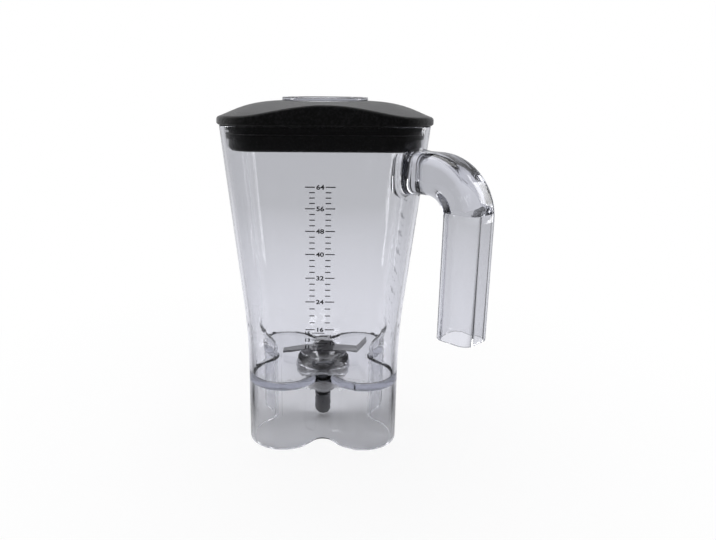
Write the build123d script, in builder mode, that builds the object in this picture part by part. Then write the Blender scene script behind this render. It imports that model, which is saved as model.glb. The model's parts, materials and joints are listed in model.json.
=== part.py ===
from build123d import *
import math
import os

# Driving dimensions, in millimetres. The blade axis is Z and the skirt stands on z = 0.

# Jar: a square body with round corners, drawn in by four flutes near its base
base_half_width = 57.5
corner_radius = 26.8
flute_depth = 16.5
flute_full_height = 58.0
flute_end_height = 82.0
bend_start_height = 62.0
flare_start_height = 112.0
flare_start_half_width = 59.9
rim_height = 243.0
rim_half_width = 72.3
jar_wall = 3.0
floor_top = 53.5
floor_thickness = 5.0
floor_fillet = 2.5
floor_fillet_steps = 3
rim_fillet = 0.9
fade_steps = 10

# Handle: a hollow tube that leaves the front right corner and turns down
handle_reach = 130.0
handle_height = 213.5
handle_bend_radius = 27.0
handle_end_height = 106.0
handle_side = 27.5
handle_corner_radius = 8.0
handle_wall = 3.0
handle_hollow_top = 191.0
handle_root_flare = 4.5
handle_flare_length = 8.0
handle_flare_steps = 4

# Lid: a rubber brim on the rim, with a plug in the mouth
lid_seat_gap = 0.2
lid_half_width = 73.8
lid_corner_radius = 28.0
lid_crown_height = 258.5
lid_side_drop = 2.5
lid_corner_drop = 9.5
lid_edge_fillet = 3.0
lid_underside_height = 246.0
seal_band_height = 9.0
seal_clearance = 0.3
plug_depth = 17.0
plug_half_width = 66.0
plug_wall = 6.0
plug_fillet = 3.0
filler_diameter = 54.0
filler_collar_wall = 4.0
filler_collar_bottom = 236.0
lid_sections = 5
lid_trim = 2.0
seal_rib_height = 3.2

# Filler cap: a clear plug with a shallow dished top
cap_seat_height = 257.9
cap_diameter = 64.0
cap_thickness = 2.6
cap_clearance = 0.4
cap_seat_gap = 0.2
cap_wall = 2.5
cap_plug_depth = 20.0
cap_rim_width = 4.0
cap_dish_depth = 1.0
cap_edge_fillet = 0.8

# Blade drive: housing clamped through the floor, shaft on two ball bearings
gasket_thickness = 1.5
flange_diameter = 36.0
flange_thickness = 3.0
flange_edge_fillet = 1.0
gasket_overhang = 0.8
neck_height = 3.0
neck_base_diameter = 24.0
neck_top_diameter = 16.0
barrel_diameter = 28.0
barrel_bottom = 27.0
barrel_clearance = 0.2
washer_thickness = 1.2
washer_diameter = 40.0
nut_height = 10.0
nut_across_flats = 36.0
nut_corner_angle = 15.0
shaft_diameter = 8.0
journal_diameter = 10.0
shaft_clearance = 0.3
bearing_diameter = 22.0
bearing_width = 7.0
bearing_race_gap_outer = 18.6
bearing_race_gap_inner = 12.1
ball_diameter = 4.0
ball_count = 7
ball_clearance = 0.15
cage_thickness = 0.6
cage_height = 5.6
cage_pocket_clearance = 0.15
ring_thickness = 1.2
ring_groove_depth = 0.8
ring_width = 2.4
ring_gap = 8.0
ring_lip = 1.1
spacer_length = 8.0
spacer_wall = 1.4
seal_diameter = 17.0
seal_seat_height = 58.0
seal_wall = 1.4
seal_lip_height = 1.6
fit_clearance = 0.1

# Blades and what holds them
blade_running_gap = 1.0
collar_diameter = 14.0
collar_thickness = 1.5
blade_thickness = 2.0
blade_spacer_thickness = 1.5
blade_spacer_diameter = 14.0
lock_washer_thickness = 1.0
lock_washer_diameter = 15.0
blade_flats = 6.6
blade_hub_radius = 9.0
blade_root_width = 13.0
blade_tip_width = 7.0
blade_tip_sweep = 5.0
upper_blade_radius = 32.0
upper_blade_rise = 9.0
lower_blade_radius = 35.0
lower_blade_bend_radius = 26.0
lower_blade_rise = 7.0
blade_edge_bevel = 1.4
blade_nut_across_flats = 13.0
blade_nut_height = 5.5
blade_nut_dome_height = 4.0
blade_nut_dome_radius = 5.5
blade_nut_dome_fillet = 3.8

# Coupling on the lower end of the shaft
coupling_diameter = 20.0
coupling_hub_diameter = 12.0
coupling_bottom = 6.0
coupling_top = 22.0
coupling_socket_depth = 9.0
coupling_socket_diameter = 15.0
coupling_teeth = 8
coupling_tooth_width = 2.2
coupling_tooth_height = 1.6
coupling_edge = 0.8
pin_diameter = 3.0
pin_height = 18.0
pin_clearance = 0.05

# Heights that follow from the sizes above
floor_bottom = floor_top - floor_thickness
flange_bottom = floor_top + gasket_thickness
flange_top = flange_bottom + flange_thickness
neck_top = flange_top + neck_height
washer_bottom = floor_bottom - washer_thickness
nut_bottom = washer_bottom - nut_height
ring_bottom = barrel_bottom + ring_lip
lower_bearing_bottom = ring_bottom + ring_thickness
upper_bearing_bottom = lower_bearing_bottom + bearing_width + spacer_length
bearing_top = upper_bearing_bottom + bearing_width
collar_bottom = neck_top + blade_running_gap
lower_blade_bottom = collar_bottom + collar_thickness
blade_spacer_bottom = lower_blade_bottom + blade_thickness
upper_blade_bottom = blade_spacer_bottom + blade_spacer_thickness
lock_washer_bottom = upper_blade_bottom + blade_thickness
blade_nut_bottom = lock_washer_bottom + lock_washer_thickness
shaft_top = blade_nut_bottom + blade_nut_height
shaft_bottom = coupling_bottom + coupling_socket_depth
brim_bottom = rim_height + lid_seat_gap
plug_bottom = rim_height - plug_depth
seal_band_bottom = rim_height - seal_band_height
cap_bottom = cap_seat_height + cap_seat_gap
cap_top = cap_bottom + cap_thickness
cap_plug_bottom = cap_bottom - cap_plug_depth
bearing_pitch_radius = (bearing_race_gap_outer + bearing_race_gap_inner) / 4
flare_slope = (rim_half_width - flare_start_half_width) / (rim_height - flare_start_height)


def body_half_width(height):
    """Half width of the flared body above the bend."""
    return flare_start_half_width + flare_slope * (height - flare_start_height)


def lobed_face(height, half_width, radius, fluted):
    """Square face with round corners. Its sides are drawn in by flutes, at a share of their full depth."""
    lobe = half_width - radius
    flute_radius = (lobe**2 - 2 * radius * flute_depth + flute_depth**2) / (2 * flute_depth)
    flute_centre = half_width - flute_depth + flute_radius
    flute_end = lobe * flute_radius / (radius + flute_radius)

    def side_point(x):
        if abs(x) > flute_end:
            full = lobe + math.sqrt(radius**2 - (lobe - abs(x))**2)
        else:
            full = flute_centre - math.sqrt(flute_radius**2 - x**2)
        return Vector(x, fluted * (half_width - full) - half_width)

    steps = [lobe, (2 * lobe + flute_end) / 3, (lobe + 2 * flute_end) / 3, flute_end, flute_end / 2]
    side = [side_point(x) for x in [-step for step in steps] + [0] + steps[::-1]]
    corner = lobe + radius * math.sqrt(0.5)
    with BuildSketch(Plane.XY.offset(height)) as face:
        with BuildLine():
            for quarter in range(4):
                turn = 90 * quarter
                points = [point.rotate(Axis.Z, turn) for point in side]
                along = Vector(1, 0).rotate(Axis.Z, turn)
                if fluted > 0:
                    Spline(*points, tangents=(along, along))
                else:
                    Line(points[0], points[-1])
                ThreePointArc(points[-1], Vector(corner, -corner).rotate(Axis.Z, turn),
                              points[0].rotate(Axis.Z, 90))
        make_face()
    return face.sketch


def eased(share):
    """A share from 0 to 1, eased so that its slope and curvature start and end at 0."""
    return share**3 * (10 - 15 * share + 6 * share**2)


def jar_form(inset, bottom, mode):
    """Add or cut the jar's lobed and flared form, drawn in by the inset, from bottom to rim."""
    radius = corner_radius - inset
    lower = lobed_face(bottom, base_half_width - inset, radius, 1)
    extrude(lower, amount=flute_full_height - bottom, mode=mode)
    fade = []
    for step in range(fade_steps + 1):
        height = flute_full_height + step / fade_steps * (flare_start_height - flute_full_height)
        left = (flute_end_height - height) / (flute_end_height - flute_full_height)
        left = min(1.0, max(0.0, left))
        bend = max(0.0, height - bend_start_height) / (flare_start_height - bend_start_height)
        width = base_half_width + (flare_start_half_width - base_half_width) * bend**2
        fade.append(lobed_face(height, width - inset, radius, eased(left)))
    loft(fade, mode=mode)
    flare_ends = (flare_start_height, rim_height)
    loft([lobed_face(z, body_half_width(z) - inset, radius, 0) for z in flare_ends],
         ruled=True, mode=mode)


# Jar
corner_plane = Plane(origin=(0, 0, 0), x_dir=(1, -1, 0), z_dir=(-1, -1, 0))
corner_reach = (body_half_width(handle_height) - corner_radius) * math.sqrt(2) + corner_radius
corner_setback = corner_radius - math.sqrt(corner_radius**2 - (handle_side / 2 + handle_root_flare)**2)
handle_root = corner_reach - corner_setback - jar_wall
flare_length = corner_setback / 2 + handle_flare_length

with BuildPart() as jar:
    jar_form(0, 0, Mode.ADD)
    with BuildLine(corner_plane) as handle_path:
        FilletPolyline((handle_root, handle_height), (handle_reach, handle_height),
                       (handle_reach, handle_end_height), radius=handle_bend_radius)
    root_plane = Plane(handle_path.line @ 0, z_dir=handle_path.line % 0)
    with BuildSketch(root_plane):
        RectangleRounded(handle_side, handle_side, handle_corner_radius)
    sweep(path=handle_path.line)
    flare_plane = root_plane.offset(corner_reach - corner_setback / 2 - handle_root)
    with BuildSketch(root_plane):
        RectangleRounded(handle_side + 2 * handle_root_flare, handle_side + 2 * handle_root_flare,
                         handle_corner_radius + handle_root_flare)
    extrude(amount=corner_reach - corner_setback / 2 - handle_root)
    for step in range(handle_flare_steps + 1):
        turn = math.radians(90 * step / handle_flare_steps)
        spread = handle_root_flare * (1 - math.sin(turn))
        with BuildSketch(flare_plane.offset(flare_length * (1 - math.cos(turn)))):
            RectangleRounded(handle_side + 2 * spread, handle_side + 2 * spread,
                             handle_corner_radius + spread)
    loft()
    jar_form(jar_wall, 0, Mode.SUBTRACT)
    extrude(lobed_face(floor_bottom, base_half_width - jar_wall / 2, corner_radius - jar_wall / 2, 1),
            amount=floor_thickness + floor_fillet)
    cove = []
    for step in range(floor_fillet_steps + 1):
        turn = math.radians(90 * step / floor_fillet_steps)
        inset = jar_wall + floor_fillet * (1 - math.sin(turn))
        cove.append(lobed_face(floor_top + floor_fillet * (1 - math.cos(turn)),
                               base_half_width - inset, corner_radius - inset, 1))
    loft(cove, mode=Mode.SUBTRACT)
    with Locations((0, 0, floor_bottom)):
        Cylinder(barrel_diameter / 2 + barrel_clearance, floor_thickness,
                 align=(Align.CENTER, Align.CENTER, Align.MIN), mode=Mode.SUBTRACT)
    with BuildSketch(Plane(corner_plane.from_local_coords((handle_reach, handle_end_height)),
                           x_dir=(1, -1, 0))):
        RectangleRounded(handle_side - 2 * handle_wall, handle_side - 2 * handle_wall,
                         handle_corner_radius - handle_wall)
    extrude(amount=handle_hollow_top - handle_end_height, mode=Mode.SUBTRACT)
    rim_edges = jar.edges().filter_by(Plane.XY).filter_by_position(Axis.Z, rim_height, rim_height)
    fillet(rim_edges, radius=rim_fillet)
jar.part.label = "jar"


# Lid
def crown(x, y):
    """Height of the lid's pillow-shaped top."""
    across = (x / lid_half_width)**2
    along = (y / lid_half_width)**2
    return lid_crown_height - lid_side_drop * (across + along) - lid_corner_drop * across * along


def pillow_section(y):
    """Closed section across the lid's crown, at y."""
    side = lid_half_width + lid_trim
    left = (-side, crown(side, y))
    right = (side, crown(side, y))
    with BuildSketch(Plane.XZ.offset(-y)) as section:
        with BuildLine():
            ThreePointArc(left, (0, crown(0, y)), right)
            Polyline(right, (side, plug_bottom), (-side, plug_bottom), left)
        make_face()
    return section.sketch


def mouth_face(height):
    """The jar's inside outline at a height near the rim, drawn in by the seal's clearance."""
    inset = jar_wall + seal_clearance
    return lobed_face(height, body_half_width(height) - inset, corner_radius - inset, 0)


plug_corner_radius = corner_radius - (rim_half_width - plug_half_width)
pillow_reach = lid_half_width + lid_trim
pillow_spacing = 2 * pillow_reach / (lid_sections - 1)

with BuildPart() as lid:
    loft([pillow_section(pillow_spacing * k - pillow_reach) for k in range(lid_sections)])
    with BuildSketch(Plane.XY.offset(brim_bottom)):
        RectangleRounded(2 * lid_half_width, 2 * lid_half_width, lid_corner_radius)
    extrude(amount=lid_crown_height - brim_bottom, mode=Mode.INTERSECT)
    fillet(lid.faces().sort_by(Axis.Z)[-1].edges(), radius=lid_edge_fillet)
    with BuildSketch(Plane.XY.offset(plug_bottom)):
        RectangleRounded(2 * plug_half_width, 2 * plug_half_width, plug_corner_radius)
    extrude(amount=brim_bottom - plug_bottom)
    fillet(lid.faces().sort_by(Axis.Z)[0].edges(), radius=plug_fillet)
    for rib_bottom in (seal_band_bottom, rim_height - seal_rib_height):
        rib_ends = (rib_bottom, rib_bottom + seal_rib_height)
        loft([mouth_face(z) for z in rib_ends], ruled=True)
    with BuildSketch(Plane.XY.offset(plug_bottom)):
        RectangleRounded(2 * (plug_half_width - plug_wall), 2 * (plug_half_width - plug_wall),
                         plug_corner_radius - plug_wall)
    extrude(amount=lid_underside_height - plug_bottom, mode=Mode.SUBTRACT)
    with BuildSketch(Plane.XY.offset(filler_collar_bottom)):
        Circle(filler_diameter / 2 + filler_collar_wall)
    extrude(amount=lid_underside_height - filler_collar_bottom)
    with BuildSketch(Plane.XY.offset(filler_collar_bottom)):
        Circle(filler_diameter / 2)
    extrude(amount=lid_crown_height - filler_collar_bottom, mode=Mode.SUBTRACT)
    with BuildSketch(Plane.XY.offset(cap_seat_height)):
        Circle(cap_diameter / 2 + cap_clearance)
    extrude(amount=lid_crown_height - cap_seat_height, mode=Mode.SUBTRACT)
lid.part.label = "lid"


# Filler cap
cap_radius = cap_diameter / 2
cap_plug_radius = filler_diameter / 2 - cap_clearance
cap_dish_radius = cap_radius - cap_rim_width
cap_bore_radius = cap_plug_radius - cap_wall

with BuildPart() as lid_cap:
    with BuildSketch(Plane.XZ):
        with BuildLine():
            Polyline((0, cap_bottom), (cap_bore_radius, cap_bottom), (cap_bore_radius, cap_plug_bottom),
                     (cap_plug_radius, cap_plug_bottom), (cap_plug_radius, cap_bottom),
                     (cap_radius, cap_bottom), (cap_radius, cap_top), (cap_dish_radius, cap_top),
                     (cap_dish_radius, cap_top - cap_dish_depth), (0, cap_top - cap_dish_depth), close=True)
        make_face()
    revolve(axis=Axis.Z)
    brim_edges = lid_cap.edges().filter_by(GeomType.CIRCLE).group_by(SortBy.RADIUS)[-1]
    fillet(brim_edges, radius=cap_edge_fillet)
lid_cap.part.label = "lid_cap"


# Turned pieces round the blade axis
def ring_profile(inner_radius, outer_radius, bottom, top):
    """Rectangular half section of a ring, beside the blade axis."""
    with BuildSketch(Plane.XZ) as section:
        with BuildLine():
            Polyline((inner_radius, bottom), (outer_radius, bottom), (outer_radius, top),
                     (inner_radius, top), close=True)
        make_face()
    return section.sketch


barrel_radius = barrel_diameter / 2
barrel_hole_radius = barrel_radius + barrel_clearance
journal_hole_radius = journal_diameter / 2 + shaft_clearance
bearing_bore_radius = bearing_diameter / 2 + fit_clearance
ring_groove_radius = bearing_bore_radius + ring_groove_depth

with BuildPart() as bearing_housing:
    with BuildSketch(Plane.XZ):
        with BuildLine():
            Polyline((journal_hole_radius, neck_top), (neck_top_diameter / 2, neck_top),
                     (neck_base_diameter / 2, flange_top), (flange_diameter / 2, flange_top),
                     (flange_diameter / 2, flange_bottom), (barrel_radius, flange_bottom),
                     (barrel_radius, barrel_bottom), (bearing_bore_radius, barrel_bottom),
                     (bearing_bore_radius, ring_bottom), (ring_groove_radius, ring_bottom),
                     (ring_groove_radius, lower_bearing_bottom),
                     (bearing_bore_radius, lower_bearing_bottom), (bearing_bore_radius, bearing_top),
                     (seal_diameter / 2, bearing_top), (seal_diameter / 2, seal_seat_height),
                     (journal_hole_radius, seal_seat_height), close=True)
        make_face()
    revolve(axis=Axis.Z)
    flange_edges = bearing_housing.edges().filter_by(GeomType.CIRCLE).group_by(SortBy.RADIUS)[-1]
    fillet(flange_edges.sort_by(Axis.Z)[-1], radius=flange_edge_fillet)
bearing_housing.part.label = "bearing_housing"

with BuildPart() as housing_gasket:
    revolve(ring_profile(barrel_hole_radius, flange_diameter / 2 + gasket_overhang,
                         floor_top, flange_bottom), axis=Axis.Z)
housing_gasket.part.label = "housing_gasket"

with BuildPart() as housing_washer:
    revolve(ring_profile(barrel_hole_radius, washer_diameter / 2, washer_bottom, floor_bottom),
            axis=Axis.Z)
housing_washer.part.label = "housing_washer"

with BuildPart() as retaining_nut:
    with BuildSketch(Plane.XY.offset(nut_bottom)):
        RegularPolygon(nut_across_flats / 2, 6, major_radius=False)
        Circle(barrel_hole_radius, mode=Mode.SUBTRACT)
    extrude(amount=nut_height)
    with BuildSketch(Plane.XY.offset(nut_bottom)):
        Circle(nut_across_flats / 2)
    extrude(amount=nut_height, taper=-nut_corner_angle, mode=Mode.INTERSECT)
retaining_nut.part.label = "retaining_nut"

seal_radius = seal_diameter / 2 - fit_clearance

with BuildPart() as shaft_seal:
    with BuildSketch(Plane.XZ):
        with BuildLine():
            Polyline((seal_radius, bearing_top), (seal_radius, seal_seat_height),
                     (journal_hole_radius, seal_seat_height),
                     (journal_hole_radius, seal_seat_height - seal_lip_height),
                     (seal_radius - seal_wall, seal_seat_height - 2 * seal_lip_height),
                     (seal_radius - seal_wall, bearing_top), close=True)
        make_face()
    revolve(axis=Axis.Z)
shaft_seal.part.label = "shaft_seal"

with BuildPart() as retaining_ring:
    with BuildSketch(Plane.XY.offset(ring_bottom)):
        Circle(ring_groove_radius - fit_clearance)
        Circle(ring_groove_radius - fit_clearance - ring_width, mode=Mode.SUBTRACT)
        with Locations((0, -ring_groove_radius)):
            Rectangle(ring_gap, 2 * ring_width + ring_groove_depth, mode=Mode.SUBTRACT)
    extrude(amount=ring_thickness)
retaining_ring.part.label = "retaining_ring"


# Ball bearings: races with grooves, balls and a pocketed cage, at two heights
outer_race_radius = bearing_diameter / 2
inner_race_radius = shaft_diameter / 2 + fit_clearance
ball_groove_radius = ball_diameter / 2 + ball_clearance
bearing_pieces = []

for place, bottom in (("upper", upper_bearing_bottom), ("lower", lower_bearing_bottom)):
    middle = bottom + bearing_width / 2
    with BuildPart() as outer_race:
        revolve(ring_profile(bearing_race_gap_outer / 2, outer_race_radius, bottom, bottom + bearing_width),
                axis=Axis.Z)
        with Locations((0, 0, middle)):
            Torus(bearing_pitch_radius, ball_groove_radius, mode=Mode.SUBTRACT)
    outer_race.part.label = f"{place}_bearing_outer_race"
    with BuildPart() as inner_race:
        revolve(ring_profile(inner_race_radius, bearing_race_gap_inner / 2, bottom, bottom + bearing_width),
                axis=Axis.Z)
        with Locations((0, 0, middle)):
            Torus(bearing_pitch_radius, ball_groove_radius, mode=Mode.SUBTRACT)
    inner_race.part.label = f"{place}_bearing_inner_race"
    with BuildPart() as balls:
        with Locations((0, 0, middle)):
            with PolarLocations(bearing_pitch_radius, ball_count):
                Sphere(ball_diameter / 2)
    balls.part.label = f"{place}_bearing_balls"
    with BuildPart() as cage:
        revolve(ring_profile(bearing_pitch_radius - cage_thickness / 2,
                             bearing_pitch_radius + cage_thickness / 2,
                             middle - cage_height / 2, middle + cage_height / 2), axis=Axis.Z)
        with Locations((0, 0, middle)):
            with PolarLocations(bearing_pitch_radius, ball_count):
                Cylinder(ball_diameter / 2 + cage_pocket_clearance, ball_diameter,
                         rotation=(0, 90, 0), mode=Mode.SUBTRACT)
    cage.part.label = f"{place}_bearing_cage"
    bearing_pieces += [outer_race.part, inner_race.part, balls.part, cage.part]

lower_bearing_top = lower_bearing_bottom + bearing_width

with BuildPart() as outer_race_spacer:
    revolve(ring_profile(outer_race_radius - spacer_wall, outer_race_radius,
                         lower_bearing_top, upper_bearing_bottom), axis=Axis.Z)
outer_race_spacer.part.label = "outer_race_spacer"

with BuildPart() as inner_race_spacer:
    revolve(ring_profile(inner_race_radius, inner_race_radius + spacer_wall,
                         lower_bearing_top, upper_bearing_bottom), axis=Axis.Z)
inner_race_spacer.part.label = "inner_race_spacer"


# Shaft, with two flats where the blades sit and a cross hole for the coupling's pin
with BuildPart() as drive_shaft:
    with BuildSketch(Plane.XZ):
        with BuildLine():
            Polyline((0, shaft_bottom), (shaft_diameter / 2, shaft_bottom), (shaft_diameter / 2, bearing_top),
                     (journal_diameter / 2, bearing_top), (journal_diameter / 2, collar_bottom),
                     (collar_diameter / 2, collar_bottom), (collar_diameter / 2, lower_blade_bottom),
                     (shaft_diameter / 2, lower_blade_bottom), (shaft_diameter / 2, shaft_top),
                     (0, shaft_top), close=True)
        make_face()
    revolve(axis=Axis.Z)
    with BuildSketch(Plane.XY.offset(lower_blade_bottom)):
        with Locations((blade_flats, 0), (-blade_flats, 0)):
            Rectangle(blade_flats, shaft_diameter)
    extrude(amount=lock_washer_bottom - lower_blade_bottom, mode=Mode.SUBTRACT)
    with BuildSketch(Plane.XZ):
        with Locations((0, pin_height)):
            Circle(pin_diameter / 2)
    extrude(amount=shaft_diameter, both=True, mode=Mode.SUBTRACT)
drive_shaft.part.label = "drive_shaft"


# Blades: bent strips with tapered wings and a ground leading edge
def keyed_hole(height):
    """Round hole with two flats, to fit the shaft's flats, as a face at a height."""
    with BuildSketch(Plane.XY.offset(height)) as hole:
        Circle(shaft_diameter / 2 + fit_clearance)
        Rectangle(blade_flats + 2 * fit_clearance, 2 * shaft_diameter, mode=Mode.INTERSECT)
    return hole.sketch


def strip_face(plane, bottom, half_line):
    """Side view of a bent strip, mirrored from the half line of (radius, rise) points."""
    right = [(radius, bottom + rise) for radius, rise in half_line]
    left = [(-radius, height) for radius, height in reversed(right)]
    upper = [(radius, height + blade_thickness) for radius, height in left + right]
    with BuildSketch(plane) as strip:
        with BuildLine():
            Polyline(*left, *right, *reversed(upper), close=True)
        make_face()
    return strip.sketch


def wing_face(bottom, radius, turn):
    """Plan view of a round hub with two tapered wings, turned about the blade axis."""
    root = blade_root_width / 2
    with BuildSketch(Plane.XY.offset(bottom)) as plan:
        Circle(blade_hub_radius)
        with PolarLocations(0, 2, start_angle=turn):
            Polygon((0, root), (radius, root), (radius - blade_tip_sweep, root - blade_tip_width),
                    (blade_hub_radius, -root), (0, -root), align=None)
    return plan.sketch


def leading_edges(blade, turn):
    """Upper edges of the two wings on their leading side."""
    upper = blade.faces().filter_by(lambda face: face.normal_at().Z > 0.5).edges()
    chosen = []
    for side in (1, -1):
        outward = Vector(side, 0, 0).rotate(Axis.Z, turn)
        across = Vector(0, side, 0).rotate(Axis.Z, turn)
        chosen += upper.filter_by(lambda edge: edge.center().dot(outward) > blade_hub_radius
                                  and edge.center().dot(across) > blade_root_width / 2 - fit_clearance)
    return chosen


def blade_solid(strip, plan, turn):
    """Cut the strip to its plan and grind its leading edges."""
    with BuildPart() as blade:
        extrude(strip, amount=blade_root_width, both=True)
        extrude(plan, amount=2 * blade_root_width, mode=Mode.INTERSECT)
        chamfer(leading_edges(blade, turn), length=blade_edge_bevel)
        extrude(keyed_hole(lower_blade_bottom), amount=lock_washer_bottom - lower_blade_bottom,
                mode=Mode.SUBTRACT)
    return blade.part


upper_line = [(blade_hub_radius, 0), (upper_blade_radius, upper_blade_rise)]
lower_line = [(lower_blade_bend_radius, 0), (lower_blade_radius, lower_blade_rise)]

with BuildPart() as upper_blade:
    add(blade_solid(strip_face(Plane.YZ, upper_blade_bottom, upper_line),
                    wing_face(upper_blade_bottom, upper_blade_radius, 90), 90))
upper_blade.part.label = "upper_blade"

with BuildPart() as lower_blade:
    add(blade_solid(strip_face(Plane.XZ, lower_blade_bottom, lower_line),
                    wing_face(lower_blade_bottom, lower_blade_radius, 0), 0))
lower_blade.part.label = "lower_blade"

with BuildPart() as blade_spacer:
    with BuildSketch(Plane.XY.offset(blade_spacer_bottom)):
        Circle(blade_spacer_diameter / 2)
        add(keyed_hole(0), mode=Mode.SUBTRACT)
    extrude(amount=blade_spacer_thickness)
blade_spacer.part.label = "blade_spacer"

with BuildPart() as lock_washer:
    revolve(ring_profile(shaft_diameter / 2 + fit_clearance, lock_washer_diameter / 2,
                         lock_washer_bottom, blade_nut_bottom), axis=Axis.Z)
lock_washer.part.label = "lock_washer"

with BuildPart() as blade_nut:
    with BuildSketch(Plane.XY.offset(blade_nut_bottom)):
        RegularPolygon(blade_nut_across_flats / 2, 6, major_radius=False)
    extrude(amount=blade_nut_height)
    with BuildSketch(Plane.XY.offset(blade_nut_bottom + blade_nut_height)):
        Circle(blade_nut_dome_radius)
    extrude(amount=blade_nut_dome_height)
    fillet(blade_nut.faces().sort_by(Axis.Z)[-1].edges(), radius=blade_nut_dome_fillet)
    with BuildSketch(Plane.XY.offset(blade_nut_bottom)):
        Circle(shaft_diameter / 2 + fit_clearance)
    extrude(amount=blade_nut_height + shaft_clearance, mode=Mode.SUBTRACT)
blade_nut.part.label = "blade_nut"


# Coupling: a splined socket under the shaft, locked by a cross pin
with BuildPart() as drive_coupling:
    with BuildSketch(Plane.XY.offset(coupling_bottom)):
        Circle(coupling_diameter / 2)
    extrude(amount=coupling_top - coupling_bottom)
    chamfer(drive_coupling.edges().filter_by(GeomType.CIRCLE), length=coupling_edge)
    with BuildSketch(Plane.XY.offset(coupling_top)):
        Circle(coupling_hub_diameter / 2)
    extrude(amount=lower_bearing_bottom - coupling_top)
    with BuildSketch(Plane.XY.offset(coupling_bottom)):
        Circle(coupling_socket_diameter / 2)
        with PolarLocations(coupling_socket_diameter / 2, coupling_teeth):
            Rectangle(2 * coupling_tooth_height, coupling_tooth_width, mode=Mode.SUBTRACT)
    extrude(amount=coupling_socket_depth, mode=Mode.SUBTRACT)
    with BuildSketch(Plane.XY.offset(shaft_bottom)):
        Circle(shaft_diameter / 2 + fit_clearance)
    extrude(amount=lower_bearing_bottom - shaft_bottom, mode=Mode.SUBTRACT)
    with BuildSketch(Plane.XZ):
        with Locations((0, pin_height)):
            Circle(pin_diameter / 2)
    extrude(amount=coupling_diameter, both=True, mode=Mode.SUBTRACT)
drive_coupling.part.label = "drive_coupling"

with BuildPart() as coupling_pin:
    with BuildSketch(Plane.XZ):
        with Locations((0, pin_height)):
            Circle(pin_diameter / 2 - pin_clearance)
    extrude(amount=coupling_diameter / 2 - coupling_edge, both=True)
coupling_pin.part.label = "coupling_pin"


pieces = [jar.part, lid.part, lid_cap.part, bearing_housing.part, housing_gasket.part, housing_washer.part,
          retaining_nut.part, shaft_seal.part, retaining_ring.part, outer_race_spacer.part,
          inner_race_spacer.part, drive_shaft.part, upper_blade.part, lower_blade.part, blade_spacer.part,
          lock_washer.part, blade_nut.part, drive_coupling.part, coupling_pin.part, *bearing_pieces]

os.makedirs("parts", exist_ok=True)
for piece in pieces:
    export_step(piece, f"parts/{piece.label}.step")
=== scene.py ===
"""Dress a clear blender jar: finishes, its lid, blades and housing, printed scales and a studio."""

import json
import math

import bmesh
import bpy
from mathutils import Matrix, Vector


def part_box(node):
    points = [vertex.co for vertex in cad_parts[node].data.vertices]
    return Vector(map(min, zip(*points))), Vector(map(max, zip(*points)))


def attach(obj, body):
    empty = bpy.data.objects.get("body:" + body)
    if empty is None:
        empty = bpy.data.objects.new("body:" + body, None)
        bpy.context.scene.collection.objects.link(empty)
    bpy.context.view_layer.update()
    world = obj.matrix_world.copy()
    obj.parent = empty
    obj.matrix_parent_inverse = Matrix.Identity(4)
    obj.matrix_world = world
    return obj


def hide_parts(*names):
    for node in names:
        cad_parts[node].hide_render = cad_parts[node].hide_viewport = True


bl_info = {
    "name": "Blender Jar Looks",
    "version": (1, 0, 0),
    "blender": (4, 5, 0),
    "location": "View3D > Sidebar > Jar",
    "description": "Finishes, lid, blades, housing, printed scales and a studio for a clear blender jar",
    "category": "Object",
}

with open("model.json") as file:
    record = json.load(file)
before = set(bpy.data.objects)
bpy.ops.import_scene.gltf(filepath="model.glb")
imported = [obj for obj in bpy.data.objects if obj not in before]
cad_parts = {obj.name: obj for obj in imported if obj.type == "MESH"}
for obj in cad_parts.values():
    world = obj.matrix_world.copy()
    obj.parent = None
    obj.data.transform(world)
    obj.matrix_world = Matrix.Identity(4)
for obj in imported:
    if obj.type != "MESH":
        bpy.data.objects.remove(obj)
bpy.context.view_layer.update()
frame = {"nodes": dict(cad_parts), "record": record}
JAR_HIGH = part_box("jar")[1]
PLUG_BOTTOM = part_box("lid")[0].z
LID_HALF_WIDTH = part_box("lid")[1].x
CAP_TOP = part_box("lid_cap")[1].z
BLADE_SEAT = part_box("lower_blade")[0].z
NUT_LOW, NUT_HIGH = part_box("retaining_nut")
SHAFT_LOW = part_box("drive_shaft")[0]
HOUSING_LOW, HOUSING_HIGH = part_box("bearing_housing")
GASKET_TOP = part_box("housing_gasket")[1].z
SEAL_LOW, SEAL_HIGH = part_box("shaft_seal")
MM = 0.001
PHOTO_WIDTH = 716
PHOTO_HEIGHT = 540
SENSOR_WIDTH = 36


# Settings

def length_setting(name, description, millimetres):
    """A size that a user can change."""
    return bpy.props.FloatProperty(
        name=name, description=description, default=millimetres * MM, unit="LENGTH")


def colour_setting(name, description, value):
    """A colour that a user can change."""
    return bpy.props.FloatVectorProperty(
        name=name, description=description, subtype="COLOR", size=3, default=value, min=0, max=1)


class JarShape(bpy.types.PropertyGroup):
    """The wall that the scales are printed on, as the jar's solid has it."""

    base_half_width: length_setting("Base half width", "Half the jar's width at its foot", 57.5)
    bend_start: length_setting("Bend start", "Height where the wall starts to lean outwards", 62)
    flare_start: length_setting("Flare start", "Height where the wall is straight again", 112)
    flare_half_width: length_setting(
        "Flare half width", "Half the jar's width where the straight flare starts", 59.9)
    rim_half_width: length_setting("Rim half width", "Half the jar's width at its rim", 72.3)


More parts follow.
